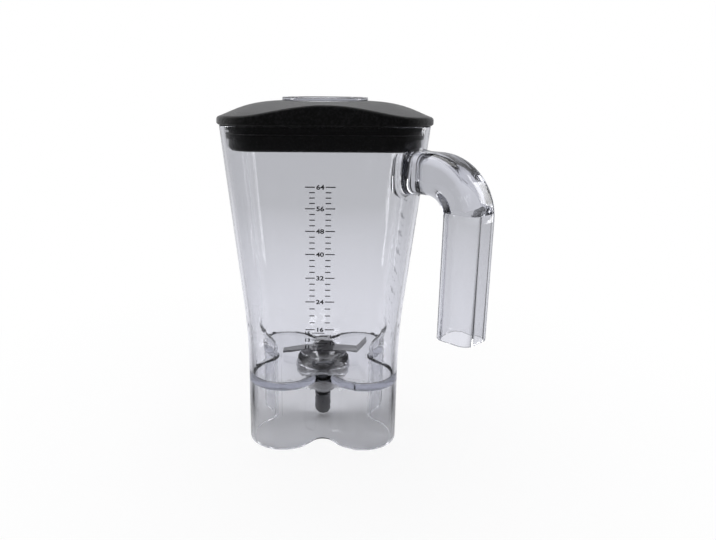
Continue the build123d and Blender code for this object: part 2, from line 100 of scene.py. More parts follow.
class LidForm(bpy.types.PropertyGroup):
    """The lid: a pillow with low sides and an arch at the front and the back, over a ribbed plug."""

    corner_radius: length_setting("Corner radius", "Radius of the lid's corners", 28)
    crown: length_setting("Crown", "Height of the middle of the lid's top", 258.5)
    edge_top: length_setting("Edge top", "Height of the lid's top at its left and right edges", 248)
    arch_drop: length_setting("Arch drop", "How far the front edge's arch stays below the crown", 1.8)
    arch_half_width: length_setting("Arch half width", "Half the width of the front edge's arch", 70)
    shoulder_power: bpy.props.FloatProperty(
        name="Shoulder power", description="How late the pillow falls off to its sides", default=4.3)
    arch_power: bpy.props.FloatProperty(
        name="Arch power", description="How late the pillow turns into the arch", default=2.0)
    edge_fillet: length_setting("Edge fillet", "Rounding of the lid's upper edge", 1.6)
    brim_bottom: length_setting("Brim bottom", "Height of the brim's underside", 243.2)
    brim_rounding: length_setting("Brim rounding", "Rounding of the brim's lower edge", 0.8)
    rib_inset: length_setting("Rib inset", "How far the seal ribs stay inside the jar's outer wall", 3.3)
    rib_height: length_setting("Rib height", "Height of a seal rib", 3.2)
    rib_pitch: length_setting("Rib pitch", "Distance between the seal ribs", 5.8)
    plug_half_width: length_setting("Plug half width", "Half the width of the plug", 66)
    plug_corner: length_setting("Plug corner", "Radius of the plug's corners", 20.5)
    plug_fillet: length_setting("Plug fillet", "Rounding of the plug's lower edge", 3)
    plug_wall: length_setting("Plug wall", "Thickness of the plug's wall", 6)
    underside: length_setting("Underside", "Height of the hollow inside the plug", 246)
    filler_radius: length_setting("Filler radius", "Radius of the filler hole", 27)
    collar_wall: length_setting("Collar wall", "Thickness of the filler hole's collar", 4)
    collar_bottom: length_setting("Collar bottom", "Height of the collar's lower end", 236)
    seat_depth: length_setting("Seat depth", "How far the cap's seat lies below the cap's top", 2.8)
    seat_radius: length_setting("Seat radius", "Radius of the cap's seat", 32.4)


class BladeForm(bpy.types.PropertyGroup):
    """The two blades and what holds them on the shaft."""

    stack_drop: length_setting("Stack drop", "How far the blades sit below the solids' seat", 3.2)
    thickness: length_setting("Thickness", "Thickness of a blade", 1.6)
    gap: length_setting("Gap", "Thickness of the spacer and of the lock washer", 0.6)
    ground_width: length_setting("Ground width", "Width of the ground edge", 2.2)
    ground_depth: length_setting("Ground depth", "How much the ground edge takes off the blade", 1.2)
    nut_height: length_setting("Nut height", "Height of the blade nut's flats", 2.4)
    nut_radius: length_setting("Nut radius", "Radius of the blade nut's corners", 7.5)
    nut_chamfer: length_setting("Nut chamfer", "Chamfer of the blade nut's edges", 0.3)
    dome_radius: length_setting("Dome radius", "Radius of the blade nut's dome", 5.625)
    dome_height: length_setting("Dome height", "Height of the blade nut's dome", 0.9)
    shaft_radius: length_setting("Shaft radius", "Radius of the shaft", 4)
    journal_radius: length_setting("Journal radius", "Radius of the shaft under its collar", 5)
    journal_length: length_setting("Journal length", "Length of the thicker shaft under its collar", 8)
    collar_radius: length_setting("Collar radius", "Radius of the collar under the blades", 7)
    collar_height: length_setting("Collar height", "Thickness of the collar under the blades", 1)


class HousingForm(bpy.types.PropertyGroup):
    """The bearing housing in the floor, and the ring nut under it."""

    flange_thickness: length_setting("Flange thickness", "Thickness of the flange on the gasket", 2.2)
    neck_radius: length_setting("Neck radius", "Radius of the neck where it leaves the flange", 12.5)
    neck_top_radius: length_setting("Neck top radius", "Radius of the neck's top", 10)
    roof: length_setting("Roof", "Thickness of the neck over the shaft's seal", 0.9)
    shaft_hole: length_setting("Shaft hole", "Radius of the hole for the shaft", 5.2)
    barrel_radius: length_setting("Barrel radius", "Radius of the barrel through the floor", 14)
    bearing_bore: length_setting("Bearing bore", "Radius of the bore for the bearings", 11.05)
    groove_radius: length_setting("Groove radius", "Radius of the groove for the retaining ring", 11.9)
    groove_start: length_setting(
        "Groove start", "How far the groove starts above the barrel's lower end", 1)
    groove_width: length_setting("Groove width", "Width of the groove", 1.3)
    nut_bore: length_setting("Nut bore", "Radius of the ring nut's hole", 14.2)
    nut_radius: length_setting("Nut radius", "Radius of the ring nut's ribs", 20.5)
    nut_groove: length_setting("Nut groove", "Radius between the ring nut's ribs", 18.2)
    nut_edge: length_setting("Nut edge", "Chamfer of the ring nut's ribs", 0.8)
    nut_rib: length_setting("Nut rib", "Width of one of the ring nut's ribs", 4.2)


class ScalePrint(bpy.types.PropertyGroup):
    """The two printed scales."""

    centre: length_setting("Centre", "How far the front scale stands from the middle of its wall", -2.8)
    figure_height: length_setting("Figure height", "Height of the figures", 3.1)
    small_figure_height: length_setting(
        "Small figure height", "Height of the figures of the fine marks", 2.4)
    figure_weight: length_setting(
        "Figure weight", "How much the strokes of a figure are thickened on each side", 0.14)
    figure_stretch: bpy.props.FloatProperty(
        name="Figure stretch", description="How much wider a figure is than in the plain font",
        default=1.25)
    line_width: length_setting("Line width", "Width of a printed line", 0.75)
    mark_start: length_setting("Mark start", "Where a mark starts beside the figures", 3.6)
    long_mark: length_setting("Long mark", "Length of a mark beside a figure", 6.6)
    short_mark: length_setting("Short mark", "Length of a mark between figures", 3.8)
    fine_mark_reach: length_setting(
        "Fine mark reach", "How far a fine mark reaches towards its figure", 5.76)
    fine_figure_start: length_setting("Fine figure start", "Where the figure of a fine mark starts", 6.84)
    fine_line_width: length_setting("Fine line width", "Width of a fine mark", 0.6)
    litre_mark_start: length_setting(
        "Litre mark start", "Where a mark starts beside a millilitre figure", 6.12)
    film: length_setting("Film", "Thickness of the ink", 0.04)


class Finishes(bpy.types.PropertyGroup):
    """Colours of the materials."""

    clear: colour_setting("Clear plastic", "Tint of the moulded plastic", (0.95, 0.952, 0.965))
    depth: colour_setting(
        "Plastic depth", "Colour of the moulded plastic where it is deep", (0.63, 0.64, 0.69))
    density: bpy.props.FloatProperty(
        name="Plastic density", description="How fast the depth colour takes over, per metre",
        default=22, min=0)
    rubber: colour_setting("Lid rubber", "Colour of the lid", (0.004, 0.004, 0.0042))
    rubber_dust: bpy.props.FloatProperty(
        name="Rubber dust", description="Share of pale sheen on the lid's grain", default=0.5, min=0, max=1)
    seal: colour_setting("Seal rubber", "Colour of the gasket and the shaft's seal", (0.03, 0.03, 0.032))
    blade: colour_setting("Blade steel", "Colour of the ground blades", (0.36, 0.36, 0.37))
    turned: colour_setting("Turned steel", "Colour of the turned pieces", (0.62, 0.62, 0.63))
    bearing: colour_setting("Bearing steel", "Colour of the bearings", (0.75, 0.75, 0.77))
    coupling: colour_setting("Coupling steel", "Colour of the drive coupling", (0.14, 0.14, 0.145))
    ink: colour_setting("Ink", "Colour of the printed scales", (0.02, 0.02, 0.022))


class Studio(bpy.types.PropertyGroup):
    """Camera, floor and light."""

    camera_distance: bpy.props.FloatProperty(
        name="Camera distance", description="How far the camera stands in front of the blade axis",
        default=0.492, unit="LENGTH")
    camera_height: bpy.props.FloatProperty(
        name="Camera height", description="Height of the camera", default=0.2675, unit="LENGTH")
    camera_pitch: bpy.props.FloatProperty(
        name="Camera pitch", description="How far the camera looks down", default=math.radians(15),
        subtype="ANGLE")
    camera_roll: bpy.props.FloatProperty(
        name="Camera roll", description="How far the camera is turned about its own line of sight",
        default=math.radians(0.4), subtype="ANGLE")
    focal_pixels: bpy.props.FloatProperty(
        name="Focal length", description="Focal length in pixels of the picture", default=640)
    axis_pixel: bpy.props.FloatVectorProperty(
        name="Axis pixel", description="Pixel that the camera's line of sight goes through", size=2,
        default=(324, 259))
    floor_size: bpy.props.FloatProperty(
        name="Floor size", description="Width of the floor", default=8, unit="LENGTH")
    light_bounces: bpy.props.IntProperty(
        name="Light bounces", description="How often light may turn inside the clear plastic", default=24)
    floor_gap: length_setting("Floor gap", "Gap between the floor and the jar's foot", 0.4)


# Shader maths

class Socket:
    """A shader socket that takes part in Python arithmetic by adding Math nodes."""

    def __init__(self, shader, socket):
        self.shader = shader
        self.socket = socket

    def maths(self, operation, first, second):
        return self.shader.node("ShaderNodeMath", {"operation": operation}, {0: first, 1: second})

    def __add__(self, other):
        return self.maths("ADD", self, other)

    def __radd__(self, other):
        return self.maths("ADD", other, self)

    def __mul__(self, other):
        return self.maths("MULTIPLY", self, other)

    def __truediv__(self, other):
        return self.maths("DIVIDE", self, other)

    def __pow__(self, other):
        return self.maths("POWER", self, other)

    def larger(self, other):
        return self.maths("MAXIMUM", self, other)

    def out(self, name):
        """Another output of the same node."""
        return Socket(self.shader, self.socket.node.outputs[name])


class Shader:
    """A node tree, with one method that makes any node."""

    def __init__(self, owner):
        owner.use_nodes = True
        self.tree = owner.node_tree
        self.tree.nodes.clear()

    def node(self, kind, settings=(), inputs=(), output=0):
        made = self.tree.nodes.new(kind)
        for name, value in dict(settings).items():
            if name == "stops":
                self.set_stops(made.color_ramp, value)
            else:
                setattr(made, name, value)
        for name, value in dict(inputs).items():
            if isinstance(value, Socket):
                self.tree.links.new(value.socket, made.inputs[name])
            else:
                made.inputs[name].default_value = value
        return Socket(self, made.outputs[output]) if made.outputs else None

    def set_stops(self, ramp, stops):
        while len(ramp.elements) < len(stops):
            ramp.elements.new(1)
        for element, (place, level) in zip(ramp.elements, stops):
            element.position = place
            element.color = (level, level, level, 1)

    def place(self):
        """The point on the piece, in metres."""
        return self.node("ShaderNodeTexCoord").out("Object")

    def stretched(self, scale):
        """The point on the piece, stretched for a pattern that runs along one axis."""
        return self.node("ShaderNodeMapping", (), {"Vector": self.place(), "Scale": scale})

    def noise(self, vector, scale, detail, roughness=0.5):
        return self.node("ShaderNodeTexNoise", (), {
            "Vector": vector, "Scale": scale, "Detail": detail, "Roughness": roughness})

    def ramp(self, factor, stops):
        return self.node("ShaderNodeValToRGB", {"stops": stops}, {"Fac": factor})

    def mixed(self, factor, first, second):
        """A colour between two others."""
        return self.node("ShaderNodeMix", {"data_type": "RGBA"}, {0: factor, 6: first, 7: second}, 2)

    def bump(self, height, strength, distance):
        return self.node("ShaderNodeBump", (), {
            "Height": height, "Strength": strength, "Distance": distance})

    def finish(self, surface, volume=None):
        inputs = {"Surface": surface} if volume is None else {"Surface": surface, "Volume": volume}
        self.node("ShaderNodeOutputMaterial", (), inputs)


def opaque(colour):
    return (*colour, 1.0)


def shaded(colour, share):
    """A colour at a share of its brightness."""
    return (*[channel * share for channel in colour], 1.0)


# Materials

def clear_plastic(material, finishes):
    """Clear moulded plastic with faint flow lines and fine scuffs. Its shadow lets the light through."""
    shader = Shader(material)
    flow = shader.noise(shader.stretched((1, 1, 0.08)), scale=90, detail=2)
    specks = shader.noise(shader.place(), scale=700, detail=4, roughness=0.7)
    scuffs = shader.ramp(specks, ((0.6, 0), (0.75, 1)))
    body = shader.node("ShaderNodeBsdfPrincipled", (), {
        "Base Color": opaque(finishes.clear),
        "Roughness": scuffs * 0.05 + 0.01,
        "IOR": 1.57,
        "Transmission Weight": 1.0,
        "Normal": shader.bump(flow, strength=0.04, distance=1.0 * MM)})
    light_way = shader.node("ShaderNodeBsdfTransparent", (), {"Color": opaque(finishes.clear)})
    is_shadow = shader.node("ShaderNodeLightPath").out("Is Shadow Ray")
    deep = shader.node("ShaderNodeVolumeAbsorption", (), {
        "Color": opaque(finishes.depth), "Density": finishes.density})
    shader.finish(shader.node("ShaderNodeMixShader", (), {0: is_shadow, 1: body, 2: light_way}), deep)


def lid_rubber(material, finishes):
    """Black rubber with a fine moulded grain."""
    shader = Shader(material)
    grain = shader.noise(shader.place(), scale=620, detail=3, roughness=0.7)
    cloud = shader.noise(shader.place(), scale=60, detail=3)
    speckle = shader.ramp(grain, ((0.45, 0), (0.7, 1)))
    body = shader.node("ShaderNodeBsdfPrincipled", (), {
        "Base Color": shader.mixed(speckle, shaded(finishes.rubber, 0.5), shaded(finishes.rubber, 4)),
        "Roughness": 0.5 + cloud * 0.1 + speckle * 0.08,
        "IOR": 1.5,
        "Specular IOR Level": 0.2,
        "Sheen Weight": finishes.rubber_dust,
        "Sheen Roughness": 0.4,
        "Normal": shader.bump(grain, strength=0.8, distance=0.6 * MM)})
    shader.finish(body)


def seal_rubber(material, finishes):
    """Smooth dark rubber for the gasket and the shaft's seal."""
    shader = Shader(material)
    cloud = shader.noise(shader.place(), scale=400, detail=3)
    body = shader.node("ShaderNodeBsdfPrincipled", (), {
        "Base Color": shader.mixed(cloud, shaded(finishes.seal, 0.8), shaded(finishes.seal, 1.4)),
        "Roughness": 0.4 + cloud * 0.15,
        "Normal": shader.bump(cloud, strength=0.1, distance=0.1 * MM)})
    shader.finish(body)


def turning_lines(shader, fineness):
    """Rings about the blade axis, as a lathe leaves them."""
    parts = shader.node("ShaderNodeSeparateXYZ", (), {"Vector": shader.place()})
    radius = (parts.out("X") * parts.out("X") + parts.out("Y") * parts.out("Y"))**0.5
    along = shader.node("ShaderNodeCombineXYZ", (), {"X": radius, "Y": parts.out("Z")})
    return shader.noise(along, scale=fineness, detail=3, roughness=0.6)


def turned_metal(colour, roughness, fineness):
    """A maker of turned metal of a colour, with rings of a fineness."""
    def made(material, finishes):
        shader = Shader(material)
        lines = turning_lines(shader, fineness)
        tone = getattr(finishes, colour)
        body = shader.node("ShaderNodeBsdfPrincipled", (), {
            "Base Color": shader.mixed(lines, shaded(tone, 0.8), shaded(tone, 1.15)),
            "Metallic": 1.0,
            "Roughness": roughness + lines * 0.12,
            "Normal": shader.bump(lines, strength=0.15, distance=0.05 * MM)})
        shader.finish(body)
    return made


def blade_steel(material, finishes):
    """Ground steel with lines across the blades."""
    shader = Shader(material)
    lines = shader.noise(shader.stretched((1, 1, 6)), scale=1800, detail=4, roughness=0.7)
    cloud = shader.noise(shader.place(), scale=120, detail=3)
    body = shader.node("ShaderNodeBsdfPrincipled", (), {
        "Base Color": shader.mixed(cloud, shaded(finishes.blade, 0.75), shaded(finishes.blade, 1.2)),
        "Metallic": 1.0,
        "Roughness": 0.32 + lines * 0.16,
        "Normal": shader.bump(lines, strength=0.12, distance=0.05 * MM)})
    shader.finish(body)


def scale_ink(material, finishes):
    """Black printing ink, a little worn."""
    shader = Shader(material)
    specks = shader.noise(shader.place(), scale=900, detail=4, roughness=0.65)
    wear = shader.ramp(specks, ((0.35, 0), (0.75, 1)))
    body = shader.node("ShaderNodeBsdfPrincipled", (), {
        "Base Color": shader.mixed(wear, opaque(finishes.ink), shaded(finishes.ink, 2.2)),
        "Roughness": 0.5 + wear * 0.15})
    shader.finish(body)


MAKERS = {
    "clear_plastic": clear_plastic,
    "black_rubber": lid_rubber,
    "seal_rubber": seal_rubber,
    "blade_steel": blade_steel,
    "turned_steel": turned_metal("turned", roughness=0.2, fineness=2500),
    "bearing_steel": turned_metal("bearing", roughness=0.12, fineness=4000),
    "coupling_steel": turned_metal("coupling", roughness=0.32, fineness=1800),
    "scale_ink": scale_ink,
}


def material_of(slot, context):
    """The finish of a slot, made the first time that it is asked for."""
    name = f"{slot}_finish"
    material = bpy.data.materials.get(name)
    if material is None:
        material = bpy.data.materials.new(name)
        MAKERS[slot](material, context.scene.jar_finishes)
    return material


def dress_nodes(context, slots):
    """Give the solids that take these slots their materials."""
    for row in frame["record"]["subparts"]:
        if row["material_slot"] in slots:
            mesh = frame["nodes"][row["node"]].data
            mesh.materials.clear()
            mesh.materials.append(material_of(row["material_slot"], context))


# Finishes of the solids

class JAR_OT_moulded_pieces(bpy.types.Operator):
    """Give the clear jar and cap, the rubber lid and the seals their finishes."""

    bl_idname = "jar.moulded_pieces"
    bl_label = "Moulded Pieces"

    def execute(self, context):
        dress_nodes(context, ("clear_plastic", "black_rubber", "seal_rubber"))
        return {"FINISHED"}


class JAR_OT_drive_pieces(bpy.types.Operator):
    """Give the blades, the shaft, the bearings and the coupling their metals."""

    bl_idname = "jar.drive_pieces"
    bl_label = "Drive Pieces"

    def execute(self, context):
        dress_nodes(context, ("blade_steel", "turned_steel", "bearing_steel", "coupling_steel"))
        return {"FINISHED"}


# Pieces

SAME_PLACE = 0.001 * MM
SHARP_ANGLE = math.radians(32)


def add_piece(context, bm, name, slot, body):
    """Make a mesh a piece that rides on a body."""
    mesh = bpy.data.meshes.new(name)
    bm.to_mesh(mesh)
    bm.free()
    mesh.materials.append(material_of(slot, context))
    piece = bpy.data.objects.new(name, mesh)
    context.scene.collection.objects.link(piece)
    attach(piece, body)
    return piece


def add_stand_in(context, bm, name, slot, body, node):
    """Close and smooth a mesh, and make it the piece that stands for a node."""
    bmesh.ops.remove_doubles(bm, verts=bm.verts, dist=SAME_PLACE)
    bmesh.ops.recalc_face_normals(bm, faces=bm.faces)
    for face in bm.faces:
        face.smooth = True
    piece = add_piece(context, bm, name, slot, body)
    piece.data.set_sharp_from_angle(angle=SHARP_ANGLE)
    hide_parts(node)


def wall_half_width(shape, height):
    """How far the outer wall stands from the blade axis at a height."""
    if height >= shape.flare_start:
        share = (height - shape.flare_start) / (JAR_HIGH.z - shape.flare_start)
        return shape.flare_half_width + share * (shape.rim_half_width - shape.flare_half_width)
    share = max(0.0, (height - shape.bend_start) / (shape.flare_start - shape.bend_start))
    return shape.base_half_width + share**2 * (shape.flare_half_width - shape.base_half_width)


# Lid

RING_POINTS = 144
CROWN_RINGS = 16
FILLET_RINGS = 5
PLUG_FILLET_SHARES = (0, 0.3, 0.7, 1)


def rounded_reach(direction, half_width, corner):
    """How far a rounded square reaches in a direction."""
    across, along = sorted((abs(direction.x), abs(direction.y)))
    core = half_width - corner
    if half_width * across / along <= core:
        return half_width / along
    middle = core * (across + along)
    return middle + math.sqrt(middle**2 - 2 * core**2 + corner**2)


def crown_height(form, x, y):
    """Height of the lid's top."""
    rise = form.crown - form.edge_top
    pillow = form.crown - rise * (abs(x) / LID_HALF_WIDTH)**form.shoulder_power
    turn = math.pi * min(abs(x), form.arch_half_width) / form.arch_half_width
    arch = form.edge_top + (rise - form.arch_drop) * (1 + math.cos(turn)) / 2
    return pillow + (arch - pillow) * (abs(y) / LID_HALF_WIDTH)**form.arch_power


class JAR_OT_lid(bpy.types.Operator):
    """Make the lid's arched pillow and its ribbed plug from rings."""

    bl_idname = "jar.lid"
    bl_label = "Lid"

    def execute(self, context):
        form = context.scene.jar_lid
        bm = bmesh.new()
        loop = bmesh.ops.create_circle(bm, segments=RING_POINTS, radius=1)["verts"]
        filler = self.filler_rows(form)
        self.shape_ring(form, loop, *filler[0])
        outside = self.crown_rows(form) + self.plug_rows(form, context.scene.jar_shape)
        for row in (*filler[1:], *outside, filler[0]):
            loop = self.grown_ring(bm, loop)
            self.shape_ring(form, loop, *row)
        add_stand_in(context, bm, "arched_lid", "black_rubber", "lid", "lid")
        return {"FINISHED"}

    def grown_ring(self, bm, loop):
        """The next ring, joined to this one by a band of faces."""
        edges = {edge for vert in loop for edge in vert.link_edges if edge.other_vert(vert) in loop}
        grown = bmesh.ops.extrude_edge_only(bm, edges=list(edges))["geom"]
        return {part for part in grown if isinstance(part, bmesh.types.BMVert)}

    def shape_ring(self, form, loop, half_width, corner, height, drop=0.0):
        """A rounded square, or a circle if corner equals half_width, at a height or on the crown."""
        for vert in loop:
            flat = vert.co.xy.normalized()
            x, y = flat * rounded_reach(flat, half_width, corner)
            vert.co = (x, y, crown_height(form, x, y) - drop if height is None else height)

    def filler_rows(self, form):
        seat = CAP_TOP - form.seat_depth
        return [(form.filler_radius, form.filler_radius, form.collar_bottom),
                (form.filler_radius, form.filler_radius, seat),
                (form.seat_radius, form.seat_radius, seat)]

    def crown_rows(self, form):
        rows = []
        flat_half_width = LID_HALF_WIDTH - form.edge_fillet
        flat_corner = form.corner_radius - form.edge_fillet
        for step in range(CROWN_RINGS + 1):
            share = step / CROWN_RINGS
            rows.append((form.seat_radius + share * (flat_half_width - form.seat_radius),
                         form.seat_radius + share * (flat_corner - form.seat_radius), None))
        for step in range(1, FILLET_RINGS + 1):
            turn = math.radians(90) * step / FILLET_RINGS
            out = form.edge_fillet * math.sin(turn)
            drop = form.edge_fillet * (1 - math.cos(turn))
            rows.append((flat_half_width + out, flat_corner + out, None, drop))
        return rows

    def plug_rows(self, form, shape):
        rounding = form.brim_rounding
        brim = form.brim_bottom
        plug = (form.plug_half_width, form.plug_corner)
        rows = [(LID_HALF_WIDTH, form.corner_radius, brim + rounding),
                (LID_HALF_WIDTH - rounding, form.corner_radius - rounding, brim)]
        for rib_top in (brim, brim - form.rib_pitch):
            rib_bottom = rib_top - form.rib_height
            corner = form.corner_radius - form.rib_inset
            rows.append((wall_half_width(shape, rib_top) - form.rib_inset, corner, rib_top))
            rows.append((wall_half_width(shape, rib_bottom) - form.rib_inset, corner, rib_bottom))
            rows.append((*plug, rib_bottom))
            rows.append((*plug, rib_top - form.rib_pitch))
        for share in PLUG_FILLET_SHARES:
            inset = form.plug_fillet * (1 - math.cos(math.radians(90) * share))
            low = form.plug_fillet * (1 - math.sin(math.radians(90) * share))
            rows.append((form.plug_half_width - inset, form.plug_corner - inset, PLUG_BOTTOM + low))
        inner = (form.plug_half_width - form.plug_wall, form.plug_corner - form.plug_wall)
        collar = form.filler_radius + form.collar_wall
        return rows + [(*inner, PLUG_BOTTOM), (*inner, form.underside), (collar, collar, form.underside),
                       (collar, collar, form.collar_bottom)]


# Blades

TURN_STEPS = 64
BLADE_STRIPS = 3
DOME_OUTLINE = ((1, 0), (0.92, 0.6), (0.7, 0.9), (0, 1))
# Stations along a blade, in mm: distance from the blade axis, rise, and the places of its two sides
LOWER_STATIONS = (
    (-33, -3.6, -2.5, 6.5), (-14, 0, -6, 6.5), (-9, 0, -6.5, 6.5), (-5, 0, -7.5, 7.5), (0, 0, -9, 9),
    (5, 0, -7.5, 7.5), (9, 0, -6.5, 6.5), (14, -0.6, -6.5, 6), (27.5, -0.8, -6.5, 3.5), (35, 7.8, -6.5, 2.5))
UPPER_STATIONS = (
    (-24.5, 12.8, -7.5, 4), (-11.5, 0, -7.5, 5.5), (-9, 0, -6.5, 6.5), (-5, 0, -7.5, 7.5), (0, 0, -9, 9),
    (5, 0, -7.5, 7.5), (9, 0, -6.5, 6.5), (14, -0.4, -6.5, 6), (28, -3.6, -6.5, 2.5))


def add_spun(bm, *outline):
    """Turn an outline of (radius, height) points about the blade axis."""
    corners = [bm.verts.new((radius, 0, height)) for radius, height in outline]
    edges = [bm.edges.new(pair) for pair in zip(corners, corners[1:])]
    bmesh.ops.spin(bm, geom=corners + edges, cent=(0, 0, 0), axis=(0, 0, 1), angle=math.tau,
                   steps=TURN_STEPS, use_merge=True)


def add_washer(bm, inner, outer, low, high):
    add_spun(bm, (inner, low), (outer, low), (outer, high), (inner, high), (inner, low))


class JAR_OT_blades(bpy.types.Operator):
    """Bend and grind the two blades, and set them on the shaft with their spacer, washer and nut."""

    bl_idname = "jar.blades"
    bl_label = "Blades"

    def execute(self, context):
        form = context.scene.jar_blades
        bore = form.shaft_radius
        seat = BLADE_SEAT - form.stack_drop
        spacer = seat + form.thickness
        upper = spacer + form.gap
        washer = upper + form.thickness
        nut = washer + form.gap
        self.blade(context, form, LOWER_STATIONS, seat, 0, "bent_lower_blade", "lower_blade")
        self.blade(context, form, UPPER_STATIONS, upper, math.radians(90), "bent_upper_blade", "upper_blade")
        for name, low, outer in (("blade_spacer", spacer, form.collar_radius),
                                 ("lock_washer", washer, form.nut_radius)):
            bm = bmesh.new()
            add_washer(bm, bore, outer, low, low + form.gap)
            add_stand_in(context, bm, f"thin_{name}", "turned_steel", "blade_rotor", name)
        self.nut(context, form, nut)
        self.shaft(context, form, seat, nut + form.nut_height)
        return {"FINISHED"}

    def blade(self, context, form, stations, seat, turn, name, node):
        """A strip bent through its stations and ground on its leading sides."""
        bm = bmesh.new()
        last = len(stations) - 1
        bmesh.ops.create_grid(bm, x_segments=last, y_segments=BLADE_STRIPS, size=0.5)
        leading = []
        for vert in bm.verts:
            along, rise, low, high = (value * MM for value in stations[round((vert.co.x + 0.5) * last)])
            column = round((vert.co.y + 0.5) * BLADE_STRIPS)
            across = (low, low + form.ground_width, high - form.ground_width, high)[column]
            vert.co = (along, across, seat + rise)
            if abs(along) > form.collar_radius and column == (0 if along > 0 else BLADE_STRIPS):
                leading.append(vert.co.copy())
        raised = bmesh.ops.extrude_face_region(bm, geom=bm.faces[:])["geom"]
        for vert in (part for part in raised if isinstance(part, bmesh.types.BMVert)):
            ground = any((vert.co - place).length < SAME_PLACE for place in leading)
            vert.co.z += form.thickness - (form.ground_depth if ground else 0)
        bmesh.ops.rotate(bm, verts=bm.verts, matrix=Matrix.Rotation(turn, 3, "Z"))
        add_stand_in(context, bm, name, "blade_steel", "blade_rotor", node)

    def nut(self, context, form, low):
        bm = bmesh.new()
        bmesh.ops.create_cone(
            bm, cap_ends=True, segments=6, radius1=form.nut_radius, radius2=form.nut_radius,
            depth=form.nut_height, matrix=Matrix.Translation((0, 0, low + form.nut_height / 2)))
        bmesh.ops.bevel(bm, geom=bm.edges[:], offset=form.nut_chamfer, affect="EDGES", segments=2,
                        profile=0.5, material=-1)
        top = low + form.nut_height
        dome = [(form.dome_radius * out, top + form.dome_height * up) for out, up in DOME_OUTLINE]
        add_spun(bm, (form.dome_radius, top - form.dome_height), *dome)
        add_stand_in(context, bm, "low_blade_nut", "turned_steel", "blade_rotor", "blade_nut")

    def shaft(self, context, form, seat, top):
        bm = bmesh.new()
        collar_low = seat - form.collar_height
        journal_low = collar_low - form.journal_length
        add_spun(bm, (0, SHAFT_LOW.z), (form.shaft_radius, SHAFT_LOW.z), (form.shaft_radius, journal_low),
                 (form.journal_radius, journal_low), (form.journal_radius, collar_low),
                 (form.collar_radius, collar_low), (form.collar_radius, seat), (form.shaft_radius, seat),
                 (form.shaft_radius, top), (0, top))
        add_stand_in(context, bm, "short_shaft", "turned_steel", "blade_rotor", "drive_shaft")


# Housing

class JAR_OT_housing(bpy.types.Operator):
    """Turn the bearing housing with its low neck, and the ribbed ring nut that clamps it under the floor."""

    bl_idname = "jar.housing"
    bl_label = "Housing"

    def execute(self, context):
        form = context.scene.jar_housing
        self.housing(context, form)
        self.ring_nut(context, form)
        return {"FINISHED"}

    def housing(self, context, form):
        bm = bmesh.new()
        top = SEAL_HIGH.z + form.roof
        flange_top = GASKET_TOP + form.flange_thickness
        low = HOUSING_LOW.z
        groove_low = low + form.groove_start
        groove_high = groove_low + form.groove_width
        add_spun(bm, (form.shaft_hole, top), (form.neck_top_radius, top), (form.neck_radius, flange_top),
                 (HOUSING_HIGH.x, flange_top), (HOUSING_HIGH.x, GASKET_TOP),
                 (form.barrel_radius, GASKET_TOP), (form.barrel_radius, low),
                 (form.bearing_bore, low), (form.bearing_bore, groove_low),
                 (form.groove_radius, groove_low), (form.groove_radius, groove_high),
                 (form.bearing_bore, groove_high), (form.bearing_bore, SEAL_LOW.z),
                 (SEAL_HIGH.x, SEAL_LOW.z), (SEAL_HIGH.x, SEAL_HIGH.z),
                 (form.shaft_hole, SEAL_HIGH.z), (form.shaft_hole, top))
        add_stand_in(context, bm, "low_housing", "turned_steel", "jar", "bearing_housing")

    def ring_nut(self, context, form):
        bm = bmesh.new()
        outline = [(form.nut_bore, NUT_HIGH.z)]
        for high in (NUT_HIGH.z, NUT_LOW.z + form.nut_rib):
            low = high - form.nut_rib
            outline += [(form.nut_radius - form.nut_edge, high), (form.nut_radius, high - form.nut_edge),
                        (form.nut_radius, low + form.nut_edge), (form.nut_radius - form.nut_edge, low)]
            if high == NUT_HIGH.z:
                outline += [(form.nut_groove, low), (form.nut_groove, NUT_LOW.z + form.nut_rib)]
        add_spun(bm, *outline, (form.nut_bore, NUT_LOW.z), (form.nut_bore, NUT_HIGH.z))
        add_stand_in(context, bm, "ring_nut", "turned_steel", "jar", "retaining_nut")


# Printed scales

# Heights of the ounce figures, in mm
OUNCE_HEIGHTS = {64: 203.4, 56: 188.6, 48: 172.7, 40: 156.0, 32: 138.4, 24: 120.3, 16: 98.5}
OUNCE_STEP = 8
FIGURE_SHARE = 0.7
SHORT_MARKS = 3
FINE_OUNCES = (15, 14, 13, 12, 11)
OUNCES_PER_LITRE = 33.814
MILLILITRES_PER_LITRE = 1000
# Marks and figures of the litre scale, in millilitres
LITRE_MARKS = range(500, 1900, 100)
LITRE_FIGURE_STEP = 200


def ounce_height(ounces):
    """Height of a volume on the scale, between its figures and on below the last of them."""
    low = max(min(OUNCE_HEIGHTS), OUNCE_STEP * math.floor(ounces / OUNCE_STEP))
    low = min(low, max(OUNCE_HEIGHTS) - OUNCE_STEP)
    slope = (OUNCE_HEIGHTS[low + OUNCE_STEP] - OUNCE_HEIGHTS[low]) / OUNCE_STEP
    return (OUNCE_HEIGHTS[low] + slope * (ounces - low)) * MM


def add_line(bm, left, right, height, width):
    """A printed line, flat in the drawing's plane."""
    bmesh.ops.create_grid(bm, x_segments=4, y_segments=1, size=0.5, matrix=(
        Matrix.Translation(((left + right) / 2, height, 0)) @ Matrix.Diagonal((right - left, width, 1, 1))))


